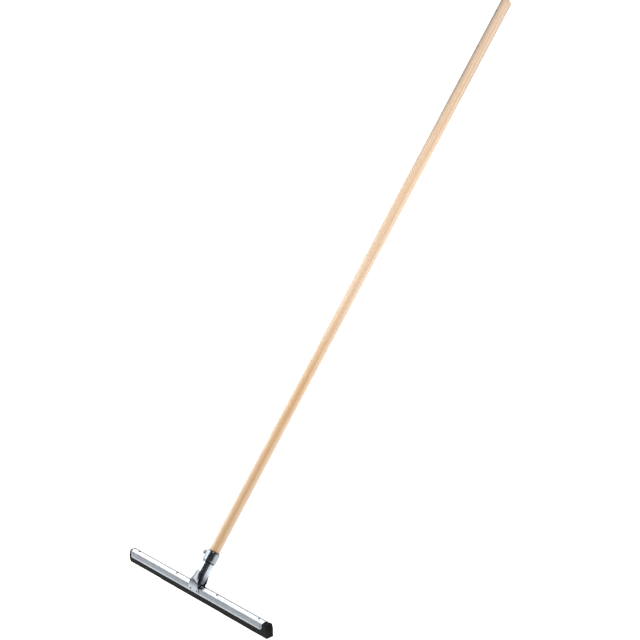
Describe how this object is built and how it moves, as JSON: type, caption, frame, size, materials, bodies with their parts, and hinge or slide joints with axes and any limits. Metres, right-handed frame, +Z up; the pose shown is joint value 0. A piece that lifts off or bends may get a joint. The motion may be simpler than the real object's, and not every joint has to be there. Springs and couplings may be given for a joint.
{
  "type": "floor squeegee",
  "caption": "Floor squeegee with a double moss-rubber lip in a zinc-plated channel and a clamped wooden handle.",
  "frame": {"origin": "middle of the lips' working edge, where it meets the floor", "axes": "+X along the head, +Y to the rear, where the handle leans, +Z up from the floor"},
  "size_m": [0.45, 0.9078, 1.1317],
  "materials": {
    "wood": "planed beech, unvarnished",
    "zinc_steel": "bright zinc plating",
    "moss_rubber": "matt cellular rubber"
  },
  "bodies": {
    "head": {"channel": "zinc_steel", "core_strip": "zinc_steel", "ridge_rivets": "zinc_steel", "front_lip": "moss_rubber", "rear_lip": "moss_rubber", "front_foot": "zinc_steel", "rear_foot": "zinc_steel", "foot_rivets": "zinc_steel", "socket_tube": "zinc_steel", "clamp_band": "zinc_steel", "clamp_bolt": "zinc_steel"},
    "handle": {"handle": "wood"},
    "washer": {"clamp_washer": "zinc_steel"},
    "wing_nut": {"wing_nut": "zinc_steel"}
  },
  "joints": [
    {"name": "handle_pull", "type": "slide", "parent": "head", "child": "handle", "axis": [0, 0.6293, 0.7771], "range_m": [0, 0.06]},
    {"name": "washer_back", "type": "slide", "parent": "head", "child": "washer", "axis": [0, 0.7771, -0.6293], "range_m": [0, 0.0024]},
    {"name": "nut_turn", "type": "hinge", "parent": "washer", "child": "wing_nut", "pos_m": [-0.021, 0.04154, 0.08009], "axis": [0, 0.7771, -0.6293], "range_deg": [0, 1080.5]}
  ],
  "couplings": [
    {"joint": "nut_turn", "follows": "washer_back", "rad_per_m": 7854}
  ]
}
